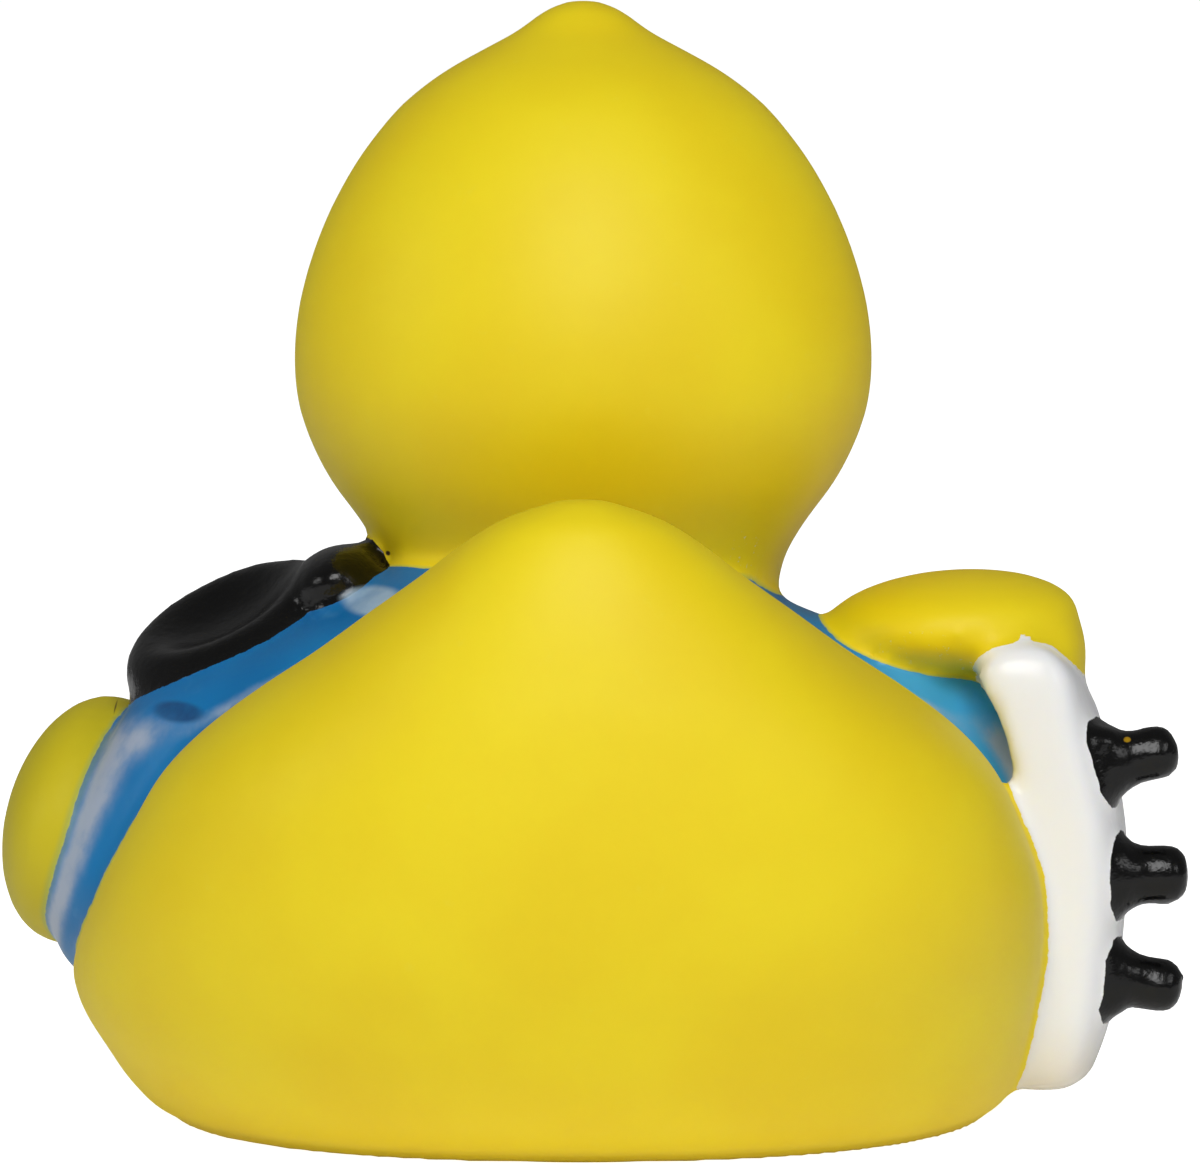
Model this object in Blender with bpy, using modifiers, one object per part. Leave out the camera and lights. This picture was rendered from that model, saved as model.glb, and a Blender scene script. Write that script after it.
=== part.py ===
"""Squeaky rubber duck, about 80 mm tall: one rotationally moulded vinyl shell with a whistle in its base.

The shell is a single casting. Hull, tail, waistcoat, head, bill, wings, the studded board on the duck's
right flank and the dished pad on its left shoulder all flow into one skin over one cavity. The whistle is
made of three small pieces: a housing pressed into the base, a reed holder and a reed.

Metres, +Z up. The duck looks along -Y, its right side is at -X, and it stands on z = 0 with the middle of
its footprint box over the origin.
"""

import math

import bmesh
import bpy
import numpy as np
from mathutils import Euler, Matrix, Vector

MM = 0.001

# ---------------------------------------------------------------- driving dimensions, in millimetres
WALL = 2.2                 # vinyl wall left by the cavity
TAIL_CAVITY_TOP = 43.0     # the tail is solid above this height
HEAD_CAVITY_TOP = 74.5     # and the crest above this one
AROUND = 38                # flats around the large outside forms
CAVITY_AROUND = 22         # and around the cavity, the board, the pegs, and the ellipsoids
BOARD_AROUND = 28
PEG_AROUND = 14
BALL_AROUND, BALL_RINGS = 20, 12
CLEARANCE = 0.3            # gap between separate pieces that touch

HEAD_Y = -10.0             # vertical axis of the turned head
HEAD_DEPTH = 0.97          # front-to-back size of the head against its width

WHISTLE_Y = 6.0            # centre of the whistle in the base
RECESS_RADIUS = 9.0
RECESS_DEPTH = 1.4
WHISTLE_HOLE_RADIUS = 5.6
SEAT_TOP = 3.4             # inside face of the thick floor around the whistle

PEG_Y = 5.0                # the three pegs stand in one row on the board's outer face
PEG_ROOT = 2.0             # how far each peg's foot runs into the board
# height of each peg's foot, its tilt above the horizon in degrees, its thickness factor, and how far its
# foot stands from the duck's middle
PEGS = ((25.4, 13.5, 1.0, 38.3), (17.2, 1.0, 1.1, 39.0), (9.7, -9.5, 1.0, 38.7))
# Profile of a peg from its flared foot to its round tip: distance along the peg, radius.
PEG = ((0.0, 2.5), (0.5, 2.35), (0.9, 1.95), (1.4, 1.85), (2.8, 1.85), (3.9, 1.8), (4.5, 1.2), (4.8, 0.0))

# Horizontal sections: height, reach to the duck's left, right, rear and front, and where its middle is.
# First the yellow hull and tail.
HULL = (
    (0.0, 29.0, -28.6, 26.5, -26.5, 0, 2.0),
    (0.6, 30.6, -30.0, 28.6, -28.4, 0, 2.0),
    (2.4, 32.6, -31.4, 31.4, -31.0, 0, 2.5),
    (5.5, 34.6, -32.2, 34.8, -34.0, 0, 3.5),
    (8.6, 36.3, -32.7, 37.2, -35.4, 0, 4.4),
    (10.8, 36.8, -33.0, 38.5, -35.8, 0, 5.0),
    (14.0, 35.8, -33.0, 40.1, -33.0, 0, 8.0),
    (18.0, 34.1, -32.5, 41.3, -26.0, 0, 11.0),
    (22.0, 32.0, -31.1, 41.9, -20.0, 0, 13.0),
    (26.0, 29.6, -29.2, 42.0, -14.0, 0, 15.0),
    (29.0, 26.7, -26.6, 41.8, -8.0, 0, 17.0),
    (32.0, 22.9, -22.9, 41.5, -1.0, 0, 19.0),
    (35.0, 18.7, -18.7, 40.9, 7.0, 0, 22.0),
    (38.0, 14.9, -14.9, 40.2, 14.5, 0, 25.0),
    (41.0, 11.0, -11.0, 39.2, 20.5, 0, 28.0),
    (43.5, 7.9, -7.9, 38.0, 24.5, 0, 30.0),
    (45.3, 5.0, -5.0, 36.6, 27.8, 0, 31.6),
    (46.5, 1.6, -1.6, 34.6, 30.8, 0, 32.6),
)

# The waistcoat over chest and shoulders.
TORSO = (
    (6.0, 32.4, -31.4, 4.0, -32.4, 0, -4.0),
    (8.0, 35.9, -34.0, 7.0, -35.0, 0, -4.0),
    (9.6, 37.8, -34.8, 9.0, -36.4, 0, -4.0),
    (11.6, 38.9, -35.6, 11.0, -37.8, 0, -4.0),
    (15.4, 39.2, -35.8, 13.0, -38.8, 0, -4.0),
    (19.5, 38.3, -35.6, 13.0, -38.9, 0, -4.0),
    (22.5, 37.0, -35.0, 13.0, -38.0, 0, -4.0),
    (25.5, 35.2, -33.6, 12.5, -36.5, 0, -4.0),
    (28.2, 33.4, -31.8, 12.0, -34.5, 0, -4.0),
    (30.0, 31.4, -30.0, 11.2, -32.6, 0, -4.0),
    (32.0, 28.2, -26.6, 10.2, -30.4, 0, -4.0),
    (34.5, 22.6, -18.6, 8.6, -27.8, 0, -4.0),
    (37.0, 17.6, -13.2, 6.6, -25.4, 0, -4.0),
    (39.5, 13.0, -11.2, 4.0, -23.0, 0, -4.0),
)

# The board on the right flank, before its outer side is bowed.
BOARD_POWER = 7.0
BOARD_BOW = 2.4            # how much further out its outer side stands near mid depth
BOW_Y, BOW_REACH = -2.5, 12.0
BOW_TOP, BOW_FADE = 34.0, 5.0     # the bow fades to nothing at this height, over this much below it
BOARD = (
    (1.5, -30.6, -33.4, 5.5, -8.0, -32.0, -1.0),
    (2.1, -29.6, -34.6, 7.6, -10.0, -32.1, -1.0),
    (3.6, -28.8, -35.5, 8.8, -11.4, -32.15, -1.0),
    (6.3, -28.6, -36.4, 9.3, -12.0, -32.5, -1.0),
    (12.0, -29.0, -37.2, 9.5, -12.4, -33.1, -1.0),
    (17.0, -29.6, -37.5, 9.5, -12.4, -33.55, -1.0),
    (22.0, -30.4, -37.1, 9.5, -12.2, -33.75, -1.0),
    (26.0, -30.0, -36.0, 9.4, -12.0, -33.0, -1.0),
    (29.5, -28.9, -35.1, 9.3, -11.6, -32.0, -1.0),
    (32.2, -27.9, -34.8, 9.1, -11.2, -31.35, -1.0),
    (33.6, -29.0, -33.8, 8.5, -10.4, -31.4, -1.0),
    (34.4, -30.8, -32.9, 7.4, -9.0, -31.85, -1.0),
)

# Profile of the turned head from the neck up to the pointed crest: height, radius.
HEAD = (
    (32.0, 13.5),
    (36.0, 14.4),
    (39.2, 15.1),
    (41.7, 16.5),
    (44.7, 18.6),
    (47.7, 20.1),
    (50.7, 21.0),
    (53.5, 21.3),
    (57.0, 21.0),
    (61.1, 20.0),
    (65.5, 18.2),
    (70.0, 15.5),
    (73.0, 12.75),
    (75.2, 9.8),
    (76.7, 7.1),
    (77.9, 4.9),
    (79.1, 3.3),
    (80.0, 1.7),
    (80.3, 0.0),
)

# Dished pad on the left shoulder: height from its rim, radius. It is turned, then laid on the slope.
PAD = (
    (-6.0, 8.2), (-3.0, 8.8), (-1.6, 8.5), (-0.6, 7.6), (0.0, 6.4),
    (-0.4, 5.0), (-1.2, 3.6), (-1.7, 2.0), (-1.8, 0.0),
)
PAD_CENTRE = (26.8, -6.2, 35.7)
PAD_TILT = 25.0            # degrees down towards the wing
PAD_LEAN = 16.0            # degrees down towards the tail

# ---------------------------------------------------------------- scene and small helpers


def clear_scene():
    for thing in list(bpy.data.objects):
        bpy.data.objects.remove(thing)


def collection(name, hidden=False):
    made = bpy.data.collections.new(name)
    bpy.context.scene.collection.children.link(made)
    made.hide_render = hidden
    return made


def material(name, colour, roughness):
    made = bpy.data.materials.new(name)
    made.use_nodes = True
    shader = made.node_tree.nodes["Principled BSDF"]
    shader.inputs["Base Color"].default_value = (*colour, 1.0)
    shader.inputs["Roughness"].default_value = roughness
    shader.inputs["Metallic"].default_value = 0.0
    return made


def mesh_object(name, mesh, home):
    made = bpy.data.objects.new(name, mesh)
    home.objects.link(made)
    return made


def smooth_rows(rows, steps):
    """Rows read from a smooth curve through the given rows, with the first column as its length."""
    rows = np.array(rows, float)
    place = rows[:, 0]
    slope = np.gradient(rows, place, axis=0)
    found = []
    for i in range(len(rows) - 1):
        width = place[i + 1] - place[i]
        for t in np.arange(steps) / steps:
            found.append(
                rows[i] * (1 + 2 * t) * (1 - t) ** 2
                + slope[i] * width * t * (1 - t) ** 2
                + rows[i + 1] * t * t * (3 - 2 * t)
                + slope[i + 1] * width * t * t * (t - 1)
            )
    found.append(rows[-1])
    return np.array(found)


def loft(name, rings, home):
    """A closed body over rings of equally many points, with a flat cap at each end."""
    form = bmesh.new()
    loops = [[form.verts.new([c * MM for c in point]) for point in ring] for ring in rings]
    for low, high in zip(loops, loops[1:]):
        for i in range(len(low)):
            j = (i + 1) % len(low)
            form.faces.new((low[i], low[j], high[j], high[i]))
    form.faces.new(reversed(loops[0]))
    form.faces.new(loops[-1])
    bmesh.ops.recalc_face_normals(form, faces=form.faces)
    mesh = bpy.data.meshes.new(name)
    form.to_mesh(mesh)
    form.free()
    return mesh_object(name, mesh, home)


def egg_ring(row, around, power=2.25, inset=0.0):
    """A level egg-shaped ring: superellipse quarters that meet in line with its middle."""
    height, left, right, rear, front, x_middle, y_middle = row
    ring = []
    for i in range(around):
        turn = 2 * math.pi * i / around
        across, along = math.cos(turn), math.sin(turn)
        half = abs((left if across > 0 else right) - x_middle) - inset
        reach = abs((rear if along > 0 else front) - y_middle) - inset
        x = x_middle + half * math.copysign(abs(across) ** (2 / power), across)
        y = y_middle + reach * math.copysign(abs(along) ** (2 / power), along)
        ring.append((x, y, height))
    return ring


def turned(name, profile, home, segments=32):
    """A solid of revolution about Z: a Screw over the (distance along Z, radius) profile, top first."""
    mesh = bpy.data.meshes.new(name)
    points = [(radius * MM, 0, height * MM) for height, radius in reversed(profile)]
    mesh.from_pydata(points, [(i, i + 1) for i in range(len(points) - 1)], [])
    made = mesh_object(name, mesh, home)
    screw = made.modifiers.new("turn", "SCREW")
    screw.steps = screw.render_steps = segments
    screw.use_merge_vertices = True
    screw.merge_threshold = 0.00001
    return made


def cylinder(low, high, radius):
    """Profile of a plain cylinder for turning."""
    return (low, 0.0), (low, radius), (high, radius), (high, 0.0)


def ball(name, centre, radii, home, turn):
    """An ellipsoid from a UV sphere, with its radii along its own axes before the turn in degrees."""
    form = bmesh.new()
    bmesh.ops.create_uvsphere(form, u_segments=BALL_AROUND, v_segments=BALL_RINGS, radius=1.0)
    angles = Euler([math.radians(angle) for angle in turn])
    shape = angles.to_matrix() @ Matrix.Diagonal([r * MM for r in radii])
    bmesh.ops.transform(form, matrix=shape.to_4x4(), verts=form.verts)
    bmesh.ops.translate(form, vec=Vector(centre) * MM, verts=form.verts)
    mesh = bpy.data.meshes.new(name)
    form.to_mesh(mesh)
    form.free()
    return mesh_object(name, mesh, home)


def settled(thing):
    """The same object with its modifiers and its place worked into its mesh."""
    bpy.context.view_layer.update()
    graph = bpy.context.evaluated_depsgraph_get()
    mesh = bpy.data.meshes.new_from_object(thing.evaluated_get(graph))
    mesh.transform(thing.matrix_world)
    thing.modifiers.clear()
    thing.data = mesh
    thing.matrix_world = Matrix.Identity(4)
    return thing


def boolean(thing, other, operation):
    step = thing.modifiers.new(other.name, "BOOLEAN")
    step.operation = operation
    step.object = other
    step.solver = "EXACT"
    settled(thing)


def closed(thing):
    """Merges the seam and poles that a Screw leaves, so that the piece is one closed body."""
    settled(thing)
    form = bmesh.new()
    form.from_mesh(thing.data)
    bmesh.ops.remove_doubles(form, verts=form.verts, dist=0.00002)
    bmesh.ops.recalc_face_normals(form, faces=form.faces)
    form.to_mesh(thing.data)
    form.free()
    return thing


# ---------------------------------------------------------------- forms of the moulded shell


def hull(home, name="hull"):
    """Boat-shaped hull that rises into the blunt tail."""
    return loft(name, [egg_ring(row, AROUND) for row in HULL], home)


def torso(home, name="torso"):
    """Chest and shoulders under the painted waistcoat, a little proud of the hull."""
    return loft(name, [egg_ring(row, AROUND) for row in TORSO], home)


def hull_cavity(home):
    """The hollow inside the hull, one wall thickness in from it and closed off below the tail's tip."""
    rows = [row for row in HULL if WALL < row[0] < TAIL_CAVITY_TOP]
    floor = (WALL, *HULL[2][1:])
    return loft("cavity", [egg_ring(row, CAVITY_AROUND, inset=WALL) for row in (floor, *rows[1:])], home)


def chest_cavity(home):
    """The hollow inside the chest and shoulders."""
    return loft("chest_cavity", [egg_ring(row, CAVITY_AROUND, inset=WALL) for row in TORSO[1:]], home)


def head(home, name="head", inset=0.0):
    """Turned head with its neck and crest, slightly shorter front to back than it is wide."""
    segments = CAVITY_AROUND if inset else AROUND
    if inset:
        profile = [(z, r - inset) for z, r in HEAD if z < HEAD_CAVITY_TOP]
        profile.append((HEAD_CAVITY_TOP, 0.0))
    else:
        profile = list(smooth_rows(HEAD, 2))
    profile.insert(0, (profile[0][0], 0.0))
    made = turned(name, profile, home, segments)
    made.scale = (1.0, HEAD_DEPTH, 1.0)
    made.location = (0, HEAD_Y * MM, 0)
    return closed(made)


def bill(home):
    """Flat bill in two lips, the upper one longer and tipped up."""
    return [
        ball("upper_lip", (0, -31.0, 51.2), (10.8, 12.0, 3.7), home, (-7, 0, 0)),
        ball("lower_lip", (0, -30.0, 47.2), (8.8, 9.6, 3.0), home, (9, 0, 0)),
    ]


def wings(home):
    """Left wing flat on the flank. The right one reaches out and lies over the top of the board."""
    return [
        ball("left_wing", (37.0, -12.5, 19.2), (5.7, 13.0, 9.4), home, (0, -13, -8)),
        ball("right_wing", (-26.9, -3.0, 34.9), (9.4, 10.0, 3.7), home, (0, 5, 0)),
        ball("right_wing_tip", (-33.6, -4.0, 32.5), (3.3, 8.6, 4.5), home, (0, 0, 0)),
    ]


def board(home):
    """Board on the right flank: a stack of nearly rectangular rings, bowed out along the outer side."""
    def bowed(point):
        x, y, z = point
        share = (y - BOW_Y) / BOW_REACH
        fade = min(1.0, max(0.0, (BOW_TOP - z) / BOW_FADE))
        return x - BOARD_BOW * fade * max(0.0, 1 - share * share), y, z

    rings = [[bowed(point) for point in egg_ring(row, BOARD_AROUND, BOARD_POWER)] for row in BOARD]
    return loft("board", rings, home)


def pegs(home):
    """Three pegs with flared feet, turned and stood square to the bowed outer side of the board."""
    made = []
    for number, (height, tilt, thickness, foot) in enumerate(PEGS, 1):
        profile = [(along, radius * thickness) for along, radius in PEG]
        profile = [(-PEG_ROOT, 0.0), (-PEG_ROOT, profile[0][1])] + profile
        peg = turned(f"peg_{number}", profile, home, PEG_AROUND)
        peg.rotation_euler = (0, math.radians(tilt - 90), 0)
        peg.location = Vector((-foot, PEG_Y, height)) * MM
        made.append(closed(peg))
    return made


def shoulder_pad(home):
    """Dished round pad on the left shoulder, with a knuckle where it meets the neck."""
    pad = turned("pad", ((PAD[0][0], 0.0), *PAD), home, AROUND)
    pad.rotation_euler = (math.radians(-PAD_LEAN), math.radians(PAD_TILT), 0)
    pad.location = Vector(PAD_CENTRE) * MM
    closed(pad)
    return [pad, ball("knuckle", (18.3, -5.0, 38.0), (3.5, 6.0, 2.2), home, (0, 24, 0))]


# ---------------------------------------------------------------- the four pieces


def duck_body(home, helpers):
    """The one-piece vinyl moulding: all forms joined, the cavity taken out, and the whistle's seat cut."""
    shell = hull(home, "duck_body")
    forms = [torso(helpers), head(helpers), *bill(helpers), *wings(helpers)]
    forms += [board(helpers), *pegs(helpers), *shoulder_pad(helpers)]
    for form in forms:
        boolean(shell, form, "UNION")

    cavity = hull_cavity(helpers)
    for form in (chest_cavity(helpers), head(helpers, "head_cavity", WALL)):
        boolean(cavity, form, "UNION")
    boolean(shell, cavity, "DIFFERENCE")

    thick = turned("thick_floor", ((1.0, 0.0), (1.0, 11.5), (SEAT_TOP, 10.5), (SEAT_TOP, 0.0)), helpers, 32)
    recess = turned("recess", cylinder(-2.0, RECESS_DEPTH, RECESS_RADIUS), helpers, 32)
    seat = turned("seat", cylinder(-3.0, SEAT_TOP + 3.0, WHISTLE_HOLE_RADIUS), helpers, 28)
    for tool, operation in ((thick, "UNION"), (recess, "DIFFERENCE"), (seat, "DIFFERENCE")):
        tool.location = (0, WHISTLE_Y * MM, 0)
        boolean(shell, closed(tool), operation)
    shell.data.shade_smooth()
    shell.data.set_sharp_from_angle(angle=math.radians(40))
    return shell


def whistle_housing(home):
    """Polyethylene cup that snaps into the base: flange below the wall, waist in the hole, lip above it."""
    neck = WHISTLE_HOLE_RADIUS - CLEARANCE
    under, over = RECESS_DEPTH - CLEARANCE, SEAT_TOP + CLEARANCE
    profile = (
        (0.4, 2.0), (0.4, 7.0), (under, 7.2), (under, neck), (over, neck), (over, neck + 0.9),
        (over + 0.8, neck + 0.7), (over + 2.0, neck - 0.4), (over + 5.0, neck - 0.6),
        (over + 5.0, 0.9), (over + 4.0, 0.9), (over + 4.0, neck - 1.6), (0.4 + 1.2, neck - 1.6),
        (0.4 + 1.2, 2.0),
    )
    made = turned("whistle_housing", (*profile, profile[0]), home, 32)
    made.location = (0, WHISTLE_Y * MM, 0)
    return closed(made)


def reed_holder(home):
    """Bush inside the housing that carries the reed over a half-open air channel."""
    outer = WHISTLE_HOLE_RADIUS - CLEARANCE - 1.6 - CLEARANCE
    made = turned("reed_holder", cylinder(2.0, 6.6, outer), home, 28)
    closed(made)
    channel = bpy.data.objects.new("channel", bpy.data.meshes.new("channel"))
    bpy.data.collections["cutters"].objects.link(channel)
    form = bmesh.new()
    bmesh.ops.create_cube(form, size=1.0)
    bmesh.ops.scale(form, vec=Vector((2.2, 4.0, 8.0)) * MM, verts=form.verts)
    bmesh.ops.translate(form, vec=Vector((0, 1.5, 4.3)) * MM, verts=form.verts)
    form.to_mesh(channel.data)
    form.free()
    boolean(made, channel, "DIFFERENCE")
    made.location = (0, WHISTLE_Y * MM, 0)
    return made


def reed(home):
    """Thin springy tongue that lies along the holder's channel and buzzes in the air stream."""
    form = bmesh.new()
    bmesh.ops.create_cube(form, size=1.0)
    bmesh.ops.scale(form, vec=Vector((1.5, 0.25, 4.4)) * MM, verts=form.verts)
    mesh = bpy.data.meshes.new("reed")
    form.to_mesh(mesh)
    form.free()
    made = mesh_object("reed", mesh, home)
    made.location = Vector((0, WHISTLE_Y + 0.6, 4.3)) * MM
    return made


def centre_footprint(pieces):
    """Moves all pieces so that the middle of their common box, seen from above, is over the origin."""
    bpy.context.view_layer.update()
    corners = [piece.matrix_world @ Vector(c) for piece in pieces for c in piece.bound_box]
    low = Vector(map(min, *corners))
    high = Vector(map(max, *corners))
    for piece in pieces:
        piece.location.x -= (low.x + high.x) / 2
        piece.location.y -= (low.y + high.y) / 2


def build():
    clear_scene()
    duck = collection("rubber_duck")
    cutters = collection("cutters", hidden=True)
    pieces = {
        "duck_body": (duck_body(duck, cutters), material("yellow_vinyl", (0.83, 0.64, 0.03), 0.45)),
        "whistle_housing": (whistle_housing(duck), material("white_polyethylene", (0.85, 0.85, 0.83), 0.4)),
        "reed_holder": (reed_holder(duck), material("clear_polyethylene", (0.75, 0.78, 0.8), 0.35)),
        "reed": (reed(duck), material("reed_film", (0.6, 0.62, 0.6), 0.3)),
    }
    for helper in cutters.objects:
        helper.hide_render = True
        helper.display_type = "WIRE"
    for piece, finish in pieces.values():
        piece.data.materials.clear()
        piece.data.materials.append(finish)
    centre_footprint([piece for piece, _ in pieces.values()])


build()
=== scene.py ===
"""Looks of the squeaky rubber duck, seen from straight behind.

Each moulded form is a numpy surface in millimetres about the duck's own middle plane: +Z up, the duck
looks along -Y and its right side is at -X. The forms are fused into one skin, because the real duck is
one casting, and how far every point lies from each form then says which paint it carries.
"""

import bpy
import numpy as np
from mathutils import Euler, Matrix, Vector


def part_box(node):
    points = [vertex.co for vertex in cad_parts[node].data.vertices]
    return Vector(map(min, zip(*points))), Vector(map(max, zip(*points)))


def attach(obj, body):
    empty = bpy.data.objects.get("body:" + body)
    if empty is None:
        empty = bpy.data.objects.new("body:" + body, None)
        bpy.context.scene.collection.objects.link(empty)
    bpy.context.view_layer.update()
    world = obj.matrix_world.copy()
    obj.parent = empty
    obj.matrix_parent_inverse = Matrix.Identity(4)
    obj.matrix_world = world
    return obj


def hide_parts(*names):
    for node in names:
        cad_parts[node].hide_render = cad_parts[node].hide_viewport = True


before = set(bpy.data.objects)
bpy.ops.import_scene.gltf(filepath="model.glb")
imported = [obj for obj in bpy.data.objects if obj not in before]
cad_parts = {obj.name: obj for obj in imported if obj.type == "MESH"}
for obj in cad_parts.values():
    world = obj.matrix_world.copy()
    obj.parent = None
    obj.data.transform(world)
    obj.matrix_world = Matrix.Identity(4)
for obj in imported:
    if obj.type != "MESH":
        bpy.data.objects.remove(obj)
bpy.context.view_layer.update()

# ---------------------------------------------------------------- hull and tail
# Rotationally moulded soft vinyl. The boat-shaped hull stands on a flat foot and sweeps up at the back
# into a blunt tail. It is a stack of level egg-shaped rings, each a little squarer than an ellipse.

RING_STEPS = 6             # rings worked out from one given row to the next


def smooth_rows(rows, steps):
    """Rows on a smooth curve through the given rows: cubic Hermite, slopes by finite difference."""
    rows = np.array(rows, float)
    slope = np.gradient(rows, rows[:, 0], axis=0)
    gap = np.diff(rows[:, :1], axis=0)[:, None]
    t = (np.arange(steps) / steps)[None, :, None]
    low, high = rows[:-1, None], rows[1:, None]
    curve = (
        low * (1 + 2 * t) * (1 - t) ** 2
        + slope[:-1, None] * gap * t * (1 - t) ** 2
        + high * t * t * (3 - 2 * t)
        + slope[1:, None] * gap * t * t * (t - 1)
    )
    return np.vstack([curve.reshape(-1, rows.shape[1]), rows[-1:]])


def ring_stack(rows, power, around=120):
    """Points of level rings: x and y go from the middle to four reaches as |cos| and |sin| to 2/power."""
    z, left, right, rear, front, x_mid, y_mid = (rows[:, k, None] for k in range(7))
    turn = np.linspace(0, 2 * np.pi, around, endpoint=False)[None]
    across = np.sign(np.cos(turn)) * np.abs(np.cos(turn)) ** (2 / power)
    along = np.sign(np.sin(turn)) * np.abs(np.sin(turn)) ** (2 / power)
    x = x_mid + across * np.where(across > 0, left - x_mid, x_mid - right)
    y = y_mid + along * np.where(along > 0, rear - y_mid, y_mid - front)
    return np.stack([x, y, z + 0 * x], axis=-1)


def ring_gap(points, rows, power):
    """How far points lie outside a ring stack: their radius less the ring's own radius that way."""
    z = points[:, 2]
    left, right, rear, front, x_mid, y_mid = (
        np.interp(z, rows[:, 0], rows[:, k]) for k in range(1, 7)
    )
    dx, dy = points[:, 0] - x_mid, points[:, 1] - y_mid
    across = np.abs(dx / np.where(dx > 0, left - x_mid, x_mid - right))
    along = np.abs(dy / np.where(dy > 0, rear - y_mid, y_mid - front))
    ratio = np.maximum((across**power + along**power) ** (1 / power), 1e-6)
    side = np.hypot(dx, dy) * (1 - 1 / ratio)
    beyond = np.maximum(np.maximum(z - rows[-1, 0], rows[0, 0] - z), 0)
    return np.where(beyond > 0, np.hypot(np.maximum(side, 0), beyond), side)


# height, reach on the duck's left, on its right, to the rear, to the front, y of the widest place
hull_rows = smooth_rows(
    [
        (z, left, -right, rear, front, 0, widest)
        for z, left, right, rear, front, widest in (
            (0.0, 29.0, 28.6, 26.5, -26.5, 2.0),
            (0.6, 30.6, 30.0, 28.6, -28.4, 2.0),
            (2.4, 32.6, 31.4, 31.4, -31.0, 2.5),
            (5.5, 34.6, 32.2, 34.8, -34.0, 3.5),
            (8.6, 36.3, 32.7, 37.2, -35.4, 4.4),
            (10.8, 36.8, 33.0, 38.5, -35.8, 5.0),
            (14.0, 35.8, 33.0, 40.1, -33.0, 8.0),
            (18.0, 34.1, 32.5, 41.3, -26.0, 11.0),
            (22.0, 32.0, 31.1, 41.9, -20.0, 13.0),
            (26.0, 29.6, 29.2, 42.0, -14.0, 15.0),
            (29.0, 26.7, 26.6, 41.8, -8.0, 17.0),
            (32.0, 22.9, 22.9, 41.5, -1.0, 19.0),
            (35.0, 18.7, 18.7, 40.9, 7.0, 22.0),
            (38.0, 14.9, 14.9, 40.2, 14.5, 25.0),
            (41.0, 11.0, 11.0, 39.2, 20.5, 28.0),
            (43.5, 7.9, 7.9, 38.0, 24.5, 30.0),
            (45.3, 5.0, 5.0, 36.6, 27.8, 31.6),
            (46.5, 1.6, 1.6, 34.6, 30.8, 32.6),
        )
    ],
    RING_STEPS,
)
HULL_POWER = 2.25
forms = {"hull": ring_stack(hull_rows, HULL_POWER)}

# ---------------------------------------------------------------- chest and shoulders
# The part of the same casting that wears the sprayed waistcoat. It stands a little proud of the hull at
# the sides, so a valley runs down between the waistcoat's back edge and the lip of the hull.

TORSO_Y = -4.0             # where along Y the chest is widest
torso_rows = smooth_rows(
    [
        (z, left, -right, rear, front, 0, TORSO_Y)
        for z, left, right, rear, front in (
            (6.0, 32.4, 31.4, 4.0, -32.4),
            (8.0, 35.9, 34.0, 7.0, -35.0),
            (9.6, 37.8, 34.8, 9.0, -36.4),
            (11.6, 38.9, 35.6, 11.0, -37.8),
            (15.4, 39.2, 35.8, 13.0, -38.8),
            (19.5, 38.3, 35.6, 13.0, -38.9),
            (22.5, 37.0, 35.0, 13.0, -38.0),
            (25.5, 35.2, 33.6, 12.5, -36.5),
            (28.2, 33.4, 31.8, 12.0, -34.5),
            (30.0, 31.4, 30.0, 11.2, -32.6),
            (32.0, 28.2, 26.6, 10.2, -30.4),
            (34.5, 22.6, 18.6, 8.6, -27.8),
            (37.0, 17.6, 13.2, 6.6, -25.4),
            (39.5, 13.0, 11.2, 4.0, -23.0),
        )
    ],
    RING_STEPS,
)
TORSO_POWER = 2.25
forms["torso"] = ring_stack(torso_rows, TORSO_POWER)

# ---------------------------------------------------------------- head, crest and bill
# The head is turned about an upright axis, narrow at the neck, widest low down and drawn up into a small
# soft crest. The bill is two flat lips moulded on, the upper one longer.

HEAD_Y, HEAD_DEPTH = -10.0, 0.97
TURNED_STEPS = 5           # points worked out from one given row of a turned profile to the next
# height, radius
head_rows = smooth_rows(
    (
        (32.0, 13.5), (36.0, 14.3), (39.3, 15.0), (41.7, 16.4), (44.7, 18.6), (47.7, 20.15),
        (50.7, 21.1), (53.7, 21.35), (57.0, 21.1), (61.1, 20.1), (65.5, 18.3), (70.0, 15.5),
        (73.0, 12.8), (75.2, 9.8), (76.7, 7.1), (77.9, 4.9), (79.1, 3.3), (79.9, 1.9), (80.35, 0.0),
    ),
    TURNED_STEPS,
)
turn = np.linspace(0, 2 * np.pi, 160, endpoint=False)
forms["head"] = np.stack(
    [
        head_rows[:, 1, None] * np.cos(turn),
        HEAD_Y + HEAD_DEPTH * head_rows[:, 1, None] * np.sin(turn),
        head_rows[:, 0, None] + 0 * turn,
    ],
    axis=-1,
)


def egg(centre, radii, turned_by=(0, 0, 0), rows=60, around=90):
    """An ellipsoid's points from pole to pole, with the frame that carries the unit ball onto it."""
    frame_of = Euler(np.radians(turned_by)).to_matrix() @ Matrix.Diagonal(radii)
    up = np.linspace(-np.pi / 2, np.pi / 2, rows)[1:-1, None]
    turn = np.linspace(0, 2 * np.pi, around, endpoint=False)[None]
    ball = np.stack(
        [np.cos(up) * np.cos(turn), np.cos(up) * np.sin(turn), np.sin(up) + 0 * turn], axis=-1
    )
    carry = np.array(frame_of)
    return ball @ carry.T + np.array(centre), (np.array(centre), np.linalg.inv(carry))


def egg_gap(points, place):
    """How far points lie outside an ellipsoid: distance from its centre less its radius that way."""
    centre, inverse = place
    ratio = np.maximum(np.linalg.norm((points - centre) @ inverse.T, axis=1), 1e-6)
    return np.linalg.norm(points - centre, axis=1) * (1 - 1 / ratio)


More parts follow.
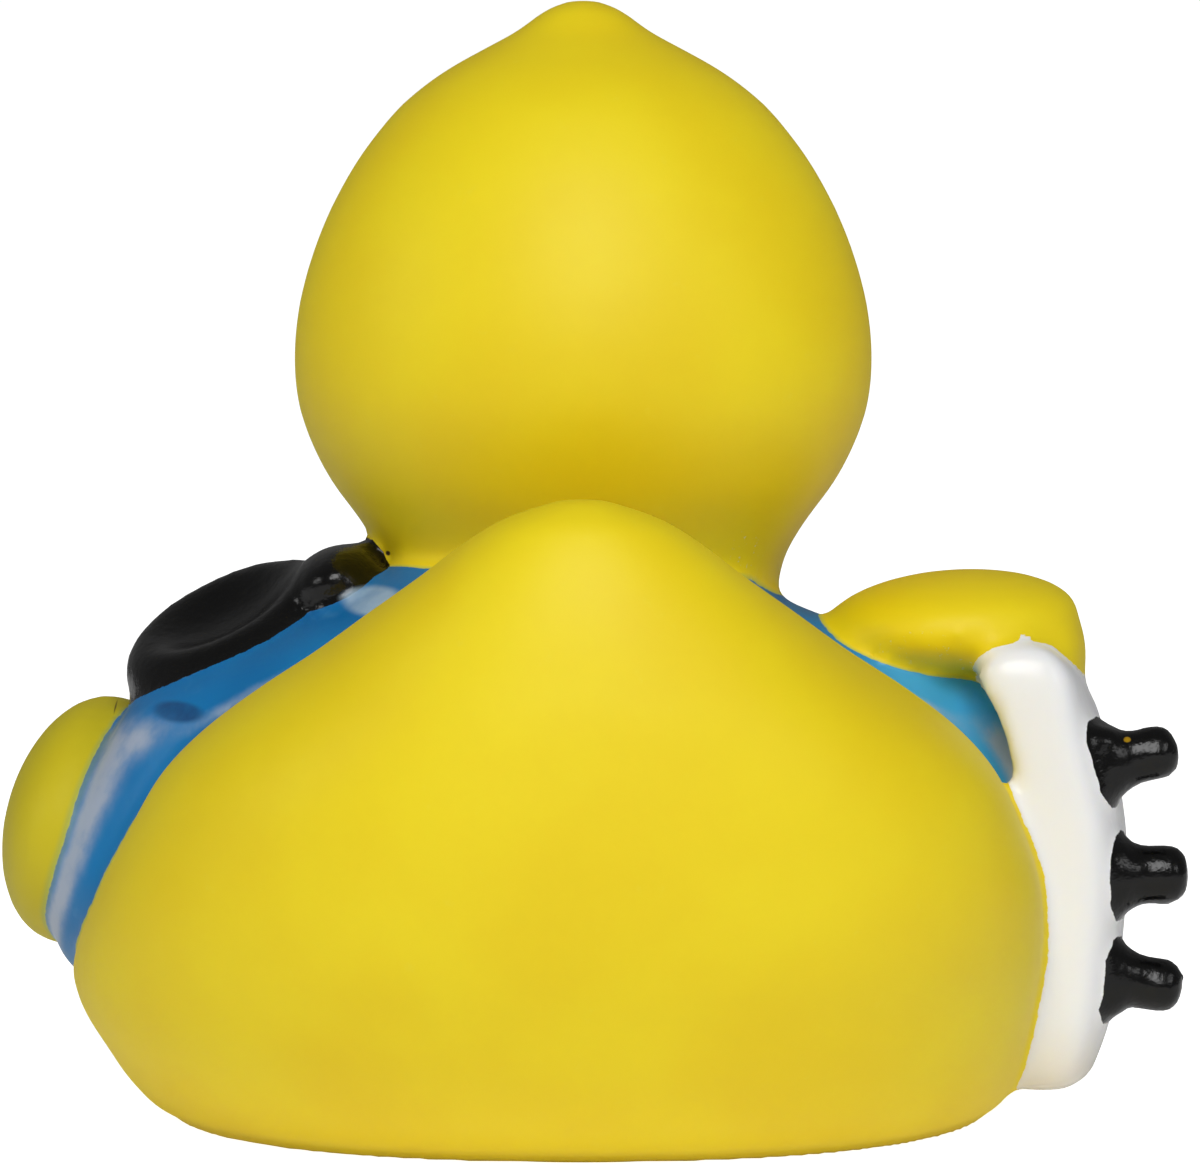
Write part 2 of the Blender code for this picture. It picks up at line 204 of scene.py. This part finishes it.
eggs = {}
forms["upper_lip"], eggs["upper_lip"] = egg((0, -31.0, 51.2), (10.8, 12.0, 3.7), (-7, 0, 0))
forms["lower_lip"], eggs["lower_lip"] = egg((0, -30.0, 47.2), (8.8, 9.6, 3.0), (9, 0, 0))

# ---------------------------------------------------------------- wings
# Bare yellow vinyl. The left one lies on its flank and shows only its rounded back edge. The right one
# reaches out and rests over the top of the board.

forms["left_wing"], eggs["left_wing"] = egg((37.0, -12.5, 19.2), (5.7, 13.0, 9.4), (0, -13, -8))
forms["right_wing"], eggs["right_wing"] = egg((-26.9, -3.0, 34.9), (9.4, 10.0, 3.7), (0, 5, 0))
forms["right_wing_tip"], eggs["right_wing_tip"] = egg((-33.6, -4.0, 32.5), (3.3, 8.6, 4.5))

# ---------------------------------------------------------------- board with three pegs
# Moulded on the right flank and painted gloss white. Its back face is a curved strip with soft edges. On
# its outer side stand three pegs on square feet, painted black foot and all, each with a round end.

# height, inner side, outer side at the back, rear, front (sideways distances from the duck's middle)
board_rows = smooth_rows(
    [
        (z, -inner, -outer, rear, front, -(inner + outer) / 2, -1.0)
        for z, inner, outer, rear, front in (
            (1.5, 30.6, 33.4, 5.5, -8.0),
            (2.1, 29.6, 34.6, 7.6, -10.0),
            (3.6, 28.8, 35.5, 8.8, -11.4),
            (6.3, 28.6, 36.4, 9.3, -12.0),
            (12.0, 29.0, 37.2, 9.5, -12.4),
            (17.0, 29.6, 37.5, 9.5, -12.4),
            (22.0, 30.4, 37.1, 9.5, -12.2),
            (26.0, 30.0, 36.0, 9.4, -12.0),
            (29.5, 28.9, 35.1, 9.3, -11.6),
            (32.2, 28.0, 34.8, 9.1, -11.2),
            (33.4, 28.9, 34.0, 8.6, -10.5),
            (34.0, 29.9, 33.2, 8.0, -9.8),
            (34.3, 31.2, 32.2, 7.0, -9.0),
        )
    ],
    RING_STEPS,
)
BOARD_POWER = 7.0
BOW, BOW_Y, BOW_REACH = 2.4, -2.5, 12.0    # how far out its side is bowed, where along Y, how far it runs
BOW_TOP, BOW_FADE = 34.0, 5.0              # the bow is gone at this height, fading over this much below


def bowed(points, sign):
    """Points moved out (sign 1) or back (sign -1) by the bow: a parabola along Y, gone at the top."""
    bow = BOW * np.clip(1 - ((points[..., 1] - BOW_Y) / BOW_REACH) ** 2, 0, 1)
    bow = bow * np.clip((BOW_TOP - points[..., 2]) / BOW_FADE, 0, 1)
    return points - sign * np.stack([bow, 0 * bow, 0 * bow], axis=-1)


def board_gap(points):
    """How far points lie outside the board: the bow is taken off them, and the rings do the rest."""
    return ring_gap(bowed(points, -1), board_rows, BOARD_POWER)


forms["board"] = bowed(ring_stack(board_rows, BOARD_POWER), 1)

PEG_Y = 5.0
# height of the foot, tilt above the horizon in degrees, thickness factor, the foot's reach from the middle
pegs = ((25.4, 13.5, 1.0, 38.3), (17.2, 1.0, 1.1, 39.0), (9.7, -9.5, 1.0, 38.7))
# distance along the peg from its foot, radius
peg_rows = smooth_rows(
    (
        (-2.0, 2.55), (0.0, 2.55), (0.4, 2.45), (0.8, 2.15), (1.2, 2.0), (2.2, 1.98),
        (3.2, 2.0), (4.0, 1.9), (4.5, 1.4), (4.75, 0.8), (4.85, 0.0),
    ),
    TURNED_STEPS,
)


def turned(rows, place, around=48):
    """A profile of (distance along, radius) turned about the X axis of its own frame and put in place."""
    turn = np.linspace(0, 2 * np.pi, around, endpoint=False)[None]
    along, radius = rows[:, 0, None], rows[:, 1, None]
    points = np.stack([along + 0 * turn, radius * np.cos(turn), radius * np.sin(turn)], axis=-1)
    centre, axes = place
    return points @ axes.T + centre


def turned_gap(points, rows, place):
    """Radius about the axis less the profile's radius, or the distance beyond either end."""
    centre, axes = place
    local = (points - centre) @ np.linalg.inv(axes).T
    side = np.hypot(local[:, 1], local[:, 2]) - np.interp(local[:, 0], rows[:, 0], rows[:, 1])
    beyond = np.maximum(np.maximum(local[:, 0] - rows[-1, 0], rows[0, 0] - local[:, 0]), 0)
    return np.maximum(side, beyond)


BOSS_POWER = 5.0           # of the square feet
BOSS_ROOT, BOSS_MIDDLE, BOSS_PROUD = 33.0, 36.0, 0.2
BOSS_REAR, BOSS_FRONT = 2.2, 2.9
# height over the peg's own, and the share of its full size that the foot has there
BOSS_ROWS = ((-2.7, 0.86), (-2.5, 1.0), (0.0, 1.0), (2.5, 1.0), (2.7, 0.86))
peg_places, bosses = [], []
for number, (height, tilt, thickness, foot) in enumerate(pegs, 1):
    axes = np.array(Matrix.Rotation(np.radians(180 + tilt), 3, "Y"))
    axes = axes @ np.diag((1.0, thickness, thickness))
    place = (np.array((-foot, PEG_Y, height)), axes)
    forms[f"peg_{number}"] = turned(peg_rows, place)
    peg_places.append(place)
    boss = [
        (
            height + over, -BOSS_ROOT, -(foot + BOSS_PROUD * share),
            PEG_Y + BOSS_REAR * share, PEG_Y - BOSS_FRONT * share, -BOSS_MIDDLE, PEG_Y,
        )
        for over, share in BOSS_ROWS
    ]
    bosses.append(smooth_rows(boss, 4))
    forms[f"boss_{number}"] = ring_stack(bosses[-1], BOSS_POWER, 64)


def peg_gap(points):
    """How far points lie outside the nearest peg or square foot."""
    stems = [turned_gap(points, peg_rows, place) for place in peg_places]
    feet = [ring_gap(points, boss, BOSS_POWER) for boss in bosses]
    return np.min(stems + feet, axis=0)


# ---------------------------------------------------------------- pad on the left shoulder
# A padded rim round a shallow dish, with a knuckle where it meets the neck, all in the casting and painted
# gloss black. It lies on the slope of the shoulder.

PAD_TILT, PAD_LEAN = 25.0, 16.0
# distance along the pad's own upright axis from its rim, radius: the outer side first and then the dish
pad_rows = np.array(
    (
        (-6.0, 8.2), (-3.0, 8.8), (-1.6, 8.5), (-0.6, 7.6), (0.0, 6.4),
        (-0.4, 5.0), (-1.2, 3.6), (-1.7, 2.0), (-1.8, 0.0),
    )
)
PAD_SIDE_ROWS = 5          # how many of those rows belong to the outer side
lean = Euler(np.radians((-PAD_LEAN, PAD_TILT, 0))).to_matrix()
lean = lean @ Matrix.Rotation(np.radians(-90), 3, "Y")
pad_place = (np.array((26.8, -6.2, 35.7)), np.array(lean))
spread = np.linspace(0, len(pad_rows) - 1, 60)
pad_curve = np.stack(
    [np.interp(spread, np.arange(len(pad_rows)), pad_rows[:, k]) for k in (0, 1)], axis=1
)
forms["pad"] = turned(pad_curve, pad_place, 120)
forms["knuckle"], eggs["knuckle"] = egg((18.3, -5.0, 38.0), (3.5, 6.0, 2.2), (0, 24, 0))

# ---------------------------------------------------------------- the one casting
# The mould runs all these forms together, so they are fused on a fine cubic grid and the creases between
# them relaxed to the small soft fillets that vinyl takes from a worn electroformed mould.

GRID = 0.00058             # metres
RELAX_TIMES = 8
SOFT, BOARD_SOFT, PEG_SOFT = 0.5, 0.3, 0.2           # how far a point moves each time
NEAR_BOARD, NEAR_PEGS = 0.3, 0.8                     # within this of one, it moves that much less

def closed_mesh(name, grids):
    """One mesh of closed forms: quads between neighbouring rows, a fan to the middle of each end row."""
    points, faces, start = [], [], 0
    for grid in grids:
        rows, around = grid.shape[:2]
        points += [grid.reshape(-1, 3), grid[0].mean(0)[None], grid[-1].mean(0)[None]]
        low = (np.arange(rows - 1)[:, None] * around + np.arange(around)[None]).ravel() + start
        side = np.arange(rows - 1)[:, None] * around + (np.arange(around)[None] + 1) % around
        side = side.ravel() + start
        faces += np.stack([low, side, side + around, low + around], axis=1).tolist()
        first, last = start + rows * around, start + rows * around + 1
        here = np.arange(around)
        there = (here + 1) % around
        faces += np.stack([there + start, here + start, first + 0 * here], axis=1).tolist()
        end = start + (rows - 1) * around
        faces += np.stack([here + end, there + end, last + 0 * here], axis=1).tolist()
        start += rows * around + 2
    mesh = bpy.data.meshes.new(name)
    mesh.from_pydata((np.vstack(points) * 0.001).tolist(), [], faces)
    return mesh


def outward(grid):
    """The same grid, its columns reversed if its faces would look inward (negative enclosed volume)."""
    a, b = grid[:-1], np.roll(grid[:-1], -1, axis=1)
    d, c = grid[1:], np.roll(grid[1:], -1, axis=1)
    middle = grid.reshape(-1, 3).mean(0)
    volume = (np.cross(c - a, d - b) * ((a + c) / 2 - middle)).sum()
    return grid if volume > 0 else grid[:, ::-1]


loose_forms = closed_mesh("vinyl_duck", [outward(grid) for grid in forms.values()])
body = bpy.data.objects.new("vinyl_duck", loose_forms)
bpy.context.scene.collection.objects.link(body)
fuse = body.modifiers.new("fuse", "REMESH")
fuse.mode = "VOXEL"
fuse.voxel_size = GRID
bpy.context.view_layer.update()
fused = bpy.data.meshes.new_from_object(body.evaluated_get(bpy.context.evaluated_depsgraph_get()))
body.modifiers.clear()
body.data = fused

count = len(fused.vertices)
skin = np.empty(count * 3, np.float32)
fused.vertices.foreach_get("co", skin)
skin = skin.reshape(-1, 3).astype(float) * 1000
edges = np.empty(len(fused.edges) * 2, np.int32)
fused.edges.foreach_get("vertices", edges)
edges = edges.reshape(-1, 2)
neighbours = np.bincount(edges.ravel(), minlength=count)


def relax(points, weight):
    """Each point moves its own share of the way to the mean of its neighbours, again and again."""
    for _ in range(RELAX_TIMES):
        total = np.stack(
            [
                np.bincount(edges[:, 0], points[edges[:, 1], k], count)
                + np.bincount(edges[:, 1], points[edges[:, 0], k], count)
                for k in range(3)
            ],
            axis=1,
        )
        points = points + weight * (total / neighbours[:, None] - points)
    return points


softness = np.where(board_gap(skin) < NEAR_BOARD, BOARD_SOFT, SOFT)
softness = np.where(peg_gap(skin) < NEAR_PEGS, PEG_SOFT, softness)
skin = relax(skin, softness[:, None])

# ---------------------------------------------------------------- which form each point belongs to
# Paint follows the forms: sprayed through masks that stop in the creases. Each attribute says how far
# inside its paint a point lies, in millimetres, and is below nought outside it.

NECK = 36.0                              # below this the head's form counts for less and less
COLLAR, COLLAR_FALL = 38.3, 1.5          # above this so does the torso's, this much for each millimetre
BLACK_SPREAD, WHITE_SPREAD = 0.12, 0.1   # how far these two paints run past the crease
gap = {name: egg_gap(skin, place) for name, place in eggs.items()}
gap["hull"] = ring_gap(skin, hull_rows, HULL_POWER)
gap["torso"] = ring_gap(skin, torso_rows, TORSO_POWER)
gap["torso"] += np.maximum(skin[:, 2] - COLLAR, 0) * COLLAR_FALL
gap["board"] = board_gap(skin)
gap["pegs"] = peg_gap(skin)
across = np.hypot(skin[:, 0], (skin[:, 1] - HEAD_Y) / HEAD_DEPTH)
gap["head"] = across - np.interp(skin[:, 2], head_rows[:, 0], head_rows[:, 1])
gap["head"] += np.maximum(NECK - skin[:, 2], 0)
gap["pad"] = np.minimum(turned_gap(skin, pad_rows[:PAD_SIDE_ROWS], pad_place), gap["knuckle"])

wings = np.minimum(np.minimum(gap["left_wing"], gap["right_wing"]), gap["right_wing_tip"])
bare = np.minimum(np.minimum(gap["hull"], gap["head"]), wings)
lips = np.minimum(gap["upper_lip"], gap["lower_lip"])
moulding = np.minimum(np.minimum(gap["hull"], gap["torso"]), gap["head"])
# across the sprayed valleys: 0 at the hull's lip, 1 at whatever stands on the other side
far_side = np.maximum(np.minimum(np.minimum(wings, gap["pad"]), gap["board"]), 0)
lip_side = np.maximum(gap["hull"], 0)
valley = lip_side / np.maximum(lip_side + far_side, 0.01)
BAND_TOP, BAND_FADE = 29.5, 3.0          # the left flank's blue band lies below this height
low_down = np.clip((BAND_TOP - skin[:, 2]) / BAND_FADE, 0, 1)
# where across its valley the blue carries its painted reflection, and how wide that streak is: on the
# flank, on the shoulders
FLANK_STREAK, FLANK_WIDTH = 0.63, 0.26
SHOULDER_STREAK, SHOULDER_WIDTH, SHOULDER_SHARE = 0.2, 0.16, 0.6
# the pale streak in the blue is painted reflection
REFLECTION_FRONT = -9.0                       # further forward than this the blue has no pale streak
pale_low = np.exp(-(((valley - FLANK_STREAK) / FLANK_WIDTH) ** 2)) * low_down
pale_high = np.exp(-(((valley - SHOULDER_STREAK) / SHOULDER_WIDTH) ** 2)) * (1 - low_down)
pale_high = pale_high * SHOULDER_SHARE
painted_reflection_depth = np.where(skin[:, 1] > REFLECTION_FRONT, pale_low + pale_high, 0)

EYE_X, EYE_Z = 8.2, 60.5


def face_oval(inward, down, wide, tall, scale):
    """How far points lie inside an oval on each side of the face: 1 less their ratio, times a scale."""
    ratio = np.hypot(
        (np.abs(skin[:, 0]) - EYE_X + inward) / wide, (skin[:, 2] - EYE_Z + down) / tall
    )
    return np.where(skin[:, 1] < HEAD_Y, 1 - ratio, -1) * scale


paints = {
    "waistcoat": bare - gap["torso"],
    "board_white": np.minimum(bare, gap["torso"]) - gap["board"] + WHITE_SPREAD,
    "black": np.minimum(np.minimum(bare, gap["torso"]), gap["board"])
    - np.minimum(gap["pegs"], gap["pad"])
    + BLACK_SPREAD,
    # where the blue carries its painted reflection, a pale streak down its valleys
    "painted_reflection": painted_reflection_depth,
    "valley": valley * low_down,
    # where the left wing carries painted shade and a painted blue reflection that darken and green its
    # yellow
    "left_wing": moulding - gap["left_wing"],
    "bill": moulding - lips,
    "eye": face_oval(0, 0, 3.6, 4.8, 4),
    "pupil": face_oval(0.8, 0.5, 2.0, 3.0, 2.4),
}

# the base: a flat foot with a round recess for the whistle
FOOT = 0.6                               # what was rounded off below this height is pressed flat again
WHISTLE_Y, RECESS_RADIUS, RECESS_DEPTH, RECESS_EDGE = 6.0, 9.0, 1.4, 0.6
skin[:, 2] = np.where(skin[:, 2] < FOOT, np.maximum(2 * skin[:, 2] - FOOT, 0), skin[:, 2])
inside = np.clip((RECESS_RADIUS - np.hypot(skin[:, 0], skin[:, 1] - WHISTLE_Y)) / RECESS_EDGE, 0, 1)
skin[:, 2] += np.where(skin[:, 2] < 0.01, RECESS_DEPTH * inside * inside * (3 - 2 * inside), 0)

# from the duck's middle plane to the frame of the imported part, by the left wing's reach and the tail's
LEFT_REACH, TAIL_REACH = forms["left_wing"][..., 0].max(), 42.0
_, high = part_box("duck_body")
to_frame = np.array((high[0] * 1000 - LEFT_REACH, high[1] * 1000 - TAIL_REACH, 0.0))
fused.vertices.foreach_set("co", ((skin + to_frame) * 0.001).astype(np.float32).ravel())
for name, value in paints.items():
    fused.attributes.new(name, "FLOAT", "POINT").data.foreach_set("value", value.astype(np.float32))
fused.polygons.foreach_set("use_smooth", np.ones(len(fused.polygons), bool))
fused.update()

# ---------------------------------------------------------------- vinyl and its paints
# Plasticised PVC, matte from the mould, with spray paint over it: satin blue, gloss white and gloss black.
# To the eye: soft yellow with faint mottling, and crisp, slightly ragged masks with a halo of overspray.


def linear(code):
    """A colour written as an sRGB hex value, turned to linear light."""
    part = np.array([int(code[i : i + 2], 16) for i in (1, 3, 5)]) / 255
    return (*np.where(part <= 0.04045, part / 12.92, ((part + 0.055) / 1.055) ** 2.4), 1.0)


def add(tree, kind, inputs, out=0, **settings):
    """Adds a node with its settings, sets or links its inputs by name or number, and gives one output."""
    node = tree.nodes.new("ShaderNode" + kind)
    for name, value in settings.items():
        setattr(node, name, value)
    for name, value in inputs.items():
        if isinstance(value, bpy.types.NodeSocket):
            tree.links.new(value, node.inputs[name])
        else:
            node.inputs[name].default_value = value
    return node.outputs[out] if node.outputs else None


vinyl = bpy.data.materials.new("painted_pvc_vinyl")
vinyl.use_nodes = True
tree = vinyl.node_tree
tree.nodes.clear()
place = add(tree, "TexCoord", {}, "Object")
sideways = add(tree, "SeparateXYZ", {0: place}, "X")
height = add(tree, "SeparateXYZ", {0: place}, "Z")
edge = {name: add(tree, "Attribute", {}, "Fac", attribute_name=name) for name in paints}
# noises by the size of their features in millimetres
noise = {
    size: add(
        tree,
        "TexNoise",
        {"Vector": place, "Scale": 1000 / size, "Detail": detail, "Roughness": rough},
        "Fac",
    )
    for size, detail, rough in (
        (0.35, 2.0, 0.5), (0.42, 3.0, 0.6), (0.8, 3.0, 0.65), (0.9, 3.0, 0.6), (1.2, 2.0, 0.5),
        (1.6, 4.0, 0.7), (2.2, 3.0, 0.6), (3.0, 3.0, 0.6), (14.0, 2.0, 0.5),
    )
}
ragged = add(tree, "Math", {0: noise[0.9], 1: 0.5}, operation="SUBTRACT")
patchy = add(tree, "MapRange", {0: noise[2.2], 1: 0.3, 2: 0.7, 3: 0.6, 4: 1.0})
# the pale streak of painted reflection in the blue, broken into patches
painted_reflection = add(tree, "Math", {0: edge["painted_reflection"], 1: patchy}, operation="MULTIPLY")
flecks = add(tree, "MapRange", {0: noise[0.42], 1: 0.62, 2: 0.72})

# Each coat over the one before: how far its edge wanders in mm, its roughness, its colour, and then the
# tints in it (what drives one, where it starts, where it is full, least and most strength, its colour).
# Bare vinyl carries a halo of blue overspray, small light specks that are painted highlight, and painted
# shade and blue reflection on the left wing; the blue carries a pale streak of painted reflection down its
# valleys, lightens towards the duck's right partly as a lighter spray and partly as painted light, and is
# yellowed against the wing; the white turns to cream at its foot and its rim.
colour, roughness, cover = None, None, {}
for coat, wander, rough, first, tints in (
    ("bare", 0.0, 0.5, "#f9e012", (
        (noise[14.0], 0.3, 0.7, 0.0, 1.0, "#f5d80d"),
        # small light specks: painted highlight on the yellow
        (noise[1.6], 0.62, 0.8, 0.0, 0.25, "#f7e440"),
        # painted shade and painted blue reflection that darken the left wing
        (edge["left_wing"], -0.1, 0.3, 0.0, 0.75, "#c9bc1b"),
        (edge["waistcoat"], -0.9, 0.1, 0.0, 0.45, "#6fab78"),
    )),
    ("waistcoat", 0.5, 0.33, "#1480c2", (
        (noise[14.0], 0.3, 0.7, 0.0, 1.0, "#0d6cac"),
        (noise[3.0], 0.58, 0.75, 0.0, 0.35, "#4f93c4"),
        # lighter towards the duck's right: partly a lighter spray, partly painted light where the wing and
        # hull shade it
        (sideways, -0.016, -0.024, 0.0, 0.9, "#45aee6"),
        # painted reflection: a pale streak down the valleys
        (painted_reflection, 0.08, 0.8, 0.0, 0.95, "#b3bfd2"),
        (edge["valley"], 0.82, 0.95, 0.0, 0.45, "#8f9f58"),
    )),
    ("board_white", 0.9, 0.25, "#fcfdff", (
        (height, 0.008, 0.002, 0.0, 0.6, "#efe2c8"),
        (edge["board_white"], 0.7, 0.1, 0.0, 0.25, "#efe2c8"),
    )),
    ("bill", 0.5, 0.42, "#ef7d10", ((noise[14.0], 0.3, 0.7, 0.0, 1.0, "#e06c08"),)),
    ("eye", 0.0, 0.3, "#f2f2f0", ()),
    ("pupil", 0.0, 0.24, "#0b0b0b", ()),
    ("black", 0.6, 0.2, "#060606", ()),
):
    shade = linear(first)
    for driver, start, full, least, most, tint in tints:
        steps = {0: driver, 1: start, 2: full, 3: least, 4: most}
        amount = add(tree, "MapRange", steps, interpolation_type="SMOOTHSTEP")
        shade = add(tree, "Mix", {0: amount, 6: shade, 7: linear(tint)}, 2, data_type="RGBA")
    if coat == "bare":
        colour, roughness = shade, add(tree, "Mix", {0: noise[0.35], 2: rough, 3: rough + 0.08})
        continue
    at = add(tree, "Math", {0: ragged, 1: wander, 2: edge[coat]}, operation="MULTIPLY_ADD")
    cover[coat] = add(tree, "MapRange", {0: at, 1: -0.06, 2: 0.1}, interpolation_type="SMOOTHSTEP")
    colour = add(tree, "Mix", {0: cover[coat], 6: colour, 7: shade}, 2, data_type="RGBA")
    roughness = add(tree, "Mix", {0: cover[coat], 2: roughness, 3: rough})

# Marks of wear and careless spraying, and patches of painted light and shade, placed in mm from the duck's
# middle plane, each with its half width, half height, colour, and what breaks it up. White flecks on the
# right wing, beside the neck and by the board's corner, two pale patches of painted reflection in the blue
# by the neck, a dark patch of painted shade in the blue under the pad, a dark pinhole in the neck, two
# thin dark lines at the edges of the left wing, and a chip at the top peg's foot.
MARK_DEPTH = 150.0                       # per metre: each mark reaches 6.7 mm either way along Y
for x, y, z, wide, tall, code, broken in (
    (-24.0, 6.0, 33.8, 3.6, 1.5, "#f0e89a", flecks),
    (-12.0, 1.5, 39.6, 1.6, 2.6, "#f4f0dc", flecks),
    (-27.8, 6.0, 32.2, 1.3, 1.0, "#f4f0dc", flecks),
    (-30.0, 9.0, 31.0, 1.2, 1.6, "#ffffff", flecks),
    # two pale patches of painted reflection in the blue by the neck
    (15.2, 3.0, 36.9, 3.0, 1.2, "#9fbad4", patchy),
    (-15.6, 3.0, 36.9, 3.6, 1.4, "#b4bfd2", patchy),
    # painted shade of the black pad: dark in the blue just below it
    (29.0, 2.0, 28.9, 2.6, 0.9, "#1b4d80", patchy),
    (14.3, -5.0, 39.8, 0.22, 0.22, "#3b2c08", 1.0),
    # two thin dark lines at the edges of the left wing
    (34.7, -6.0, 28.3, 0.12, 0.9, "#5a4a10", 1.0),
    (38.0, -4.0, 9.7, 0.7, 0.1, "#4a5a48", 1.0),
    (-39.2, 7.6, 27.2, 0.32, 0.22, "#a8820f", 1.0),
):
    centre = [0.001 * (value + shift) for value, shift in zip((x, y, z), to_frame)]
    off = add(tree, "VectorMath", {0: place, 1: centre}, operation="SUBTRACT")
    scale = (1000 / wide, MARK_DEPTH, 1000 / tall)
    off = add(tree, "VectorMath", {0: off, 1: scale}, operation="MULTIPLY")
    away = add(tree, "VectorMath", {0: off}, "Value", operation="LENGTH")
    near = add(tree, "MapRange", {0: away, 1: 1.0, 2: 0.6}, interpolation_type="SMOOTHSTEP")
    near = add(tree, "Math", {0: near, 1: broken}, operation="MULTIPLY")
    colour = add(tree, "Mix", {0: near, 6: colour, 7: linear(code)}, 2, data_type="RGBA")

# relief: fine mould grain everywhere, brush and spray texture on the paints, orange peel on the black.
# Each row is a coat, the size of its texture in mm, and how strong that is beside the others.
relief = add(tree, "Math", {0: noise[0.35], 1: 0.35}, operation="MULTIPLY")
for coat, size, strength in (("waistcoat", 1.2, 1.0), ("board_white", 1.2, 1.0), ("black", 0.8, 5.0)):
    depth = add(tree, "Math", {0: cover[coat], 1: strength}, operation="MULTIPLY")
    relief = add(tree, "Math", {0: noise[size], 1: depth, 2: relief}, operation="MULTIPLY_ADD")
bump = add(tree, "Bump", {"Strength": 0.35, "Distance": 0.00004, "Height": relief}, "Normal")
skin_shader = {
    "Base Color": colour,
    "Roughness": roughness,
    "Normal": bump,
    "IOR": 1.5,
    "Specular IOR Level": 0.38,
    "Subsurface Weight": 0.12,
    "Subsurface Radius": (1.0, 0.7, 0.25),
    "Subsurface Scale": 0.002,
}
add(tree, "OutputMaterial", {"Surface": add(tree, "BsdfPrincipled", skin_shader)})
fused.materials.clear()
fused.materials.append(vinyl)
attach(body, "root")
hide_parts("duck_body")

# ---------------------------------------------------------------- whistle
# Three small pieces pressed into the base, as moulded polyethylene and a slip of film. Only the flange and
# the mouth of the housing are seen, from underneath, so they keep their own meshes.


def plain_plastic(name, code, dark, rough):
    """As-moulded plastic: faint flow marks in the colour and a fine matte grain."""
    made = bpy.data.materials.new(name)
    made.use_nodes = True
    nodes = made.node_tree
    nodes.nodes.clear()
    at = add(nodes, "TexCoord", {}, "Object")
    flow = add(nodes, "TexNoise", {"Vector": at, "Scale": 300.0, "Detail": 3.0}, "Fac")
    grain = add(nodes, "TexNoise", {"Vector": at, "Scale": 4000.0}, "Fac")
    tint = add(nodes, "Mix", {0: flow, 6: linear(code), 7: linear(dark)}, 2, data_type="RGBA")
    lift = add(nodes, "Bump", {"Strength": 0.2, "Distance": 0.00003, "Height": grain}, "Normal")
    uneven = add(nodes, "MapRange", {0: grain, 3: rough - 0.05, 4: rough + 0.08})
    face = add(nodes, "BsdfPrincipled", {"Base Color": tint, "Roughness": uneven, "Normal": lift})
    add(nodes, "OutputMaterial", {"Surface": face})
    return made


for node, finish in (
    ("whistle_housing", plain_plastic("white_polyethylene", "#ecebe6", "#dcdad3", 0.42)),
    ("reed_holder", plain_plastic("cloudy_polyethylene", "#d5d9da", "#c3c9cb", 0.36)),
    ("reed", plain_plastic("reed_film", "#cfd0cc", "#bfc0bb", 0.3)),
):
    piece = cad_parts[node]
    piece.data.materials.clear()
    piece.data.materials.append(finish)

# ---------------------------------------------------------------- floor, light and camera
# A pale seamless floor in an even white room, with a broad soft light above and behind the camera and a
# weaker one at each side. The long lens looks at the duck's back from a little above the floor.

floor_mesh = bpy.data.meshes.new("floor")
floor_mesh.from_pydata([(-3, -3, 0), (3, -3, 0), (3, 3, 0), (-3, 3, 0)], [], [(0, 1, 2, 3)])
floor = bpy.data.objects.new("floor", floor_mesh)
bpy.context.scene.collection.objects.link(floor)
paper = bpy.data.materials.new("white_paper")
paper.use_nodes = True
sheet = paper.node_tree.nodes["Principled BSDF"].inputs
sheet["Base Color"].default_value = linear("#f6f6f6")
sheet["Roughness"].default_value = 0.9
sheet["Emission Color"].default_value = (1, 1, 1, 1)
seen = add(paper.node_tree, "LightPath", {}, "Is Camera Ray")
# how much it glows of itself: a little onto the duck, and nearly to white where it is looked at
glow = add(paper.node_tree, "MapRange", {0: seen, 3: 0.12, 4: 0.95})
paper.node_tree.links.new(glow, sheet["Emission Strength"])
floor_mesh.materials.append(paper)

world = bpy.data.worlds.new("white_room")
world.use_nodes = True
sky = world.node_tree
seen = add(sky, "LightPath", {}, "Is Camera Ray")
glow = add(sky, "MapRange", {0: seen, 3: 0.14, 4: 1.02})
sky.links.new(glow, sky.nodes["Background"].inputs["Strength"])
sky.nodes["Background"].inputs["Color"].default_value = (1, 1, 1, 1)
bpy.context.scene.world = world
bpy.context.scene.view_settings.view_transform = "Standard"


def softbox(name, at, aim, size, watts):
    """A square area light that looks at a point."""
    data = bpy.data.lights.new(name, "AREA")
    data.size, data.energy = size, watts
    made = bpy.data.objects.new(name, data)
    made.location = at
    made.rotation_euler = (Vector(aim) - Vector(at)).to_track_quat("-Z", "Y").to_euler()
    bpy.context.scene.collection.objects.link(made)


# name, place, the point it looks at, side, watts
for lamp in (
    ("key", (-0.03, 0.62, 0.56), (0, 0, 0.05), 0.45, 3.95),
    ("left", (0.5, 0.12, 0.24), (0, 0, 0.02), 0.16, 0.27),
    ("right", (-0.5, 0.34, 0.3), (0, 0, 0.03), 0.2, 0.32),
):
    softbox(*lamp)

AIM_SIDE, AIM_HEIGHT = -0.00124, 0.038   # metres from the duck's middle plane, and over the floor
target = Vector((to_frame[0] * 0.001 + AIM_SIDE, 0, AIM_HEIGHT))
lift_angle, reach = np.radians(5.0), 0.526
camera = bpy.data.objects.new("camera", bpy.data.cameras.new("camera"))
camera.location = target + reach * Vector((0, np.cos(lift_angle), np.sin(lift_angle)))
camera.rotation_euler = (target - camera.location).to_track_quat("-Z", "Y").to_euler()
camera.data.lens = 216.75
camera.data.sensor_width = 36.0
camera.data.clip_end = 10.0
bpy.context.scene.collection.objects.link(camera)
bpy.context.scene.camera = camera
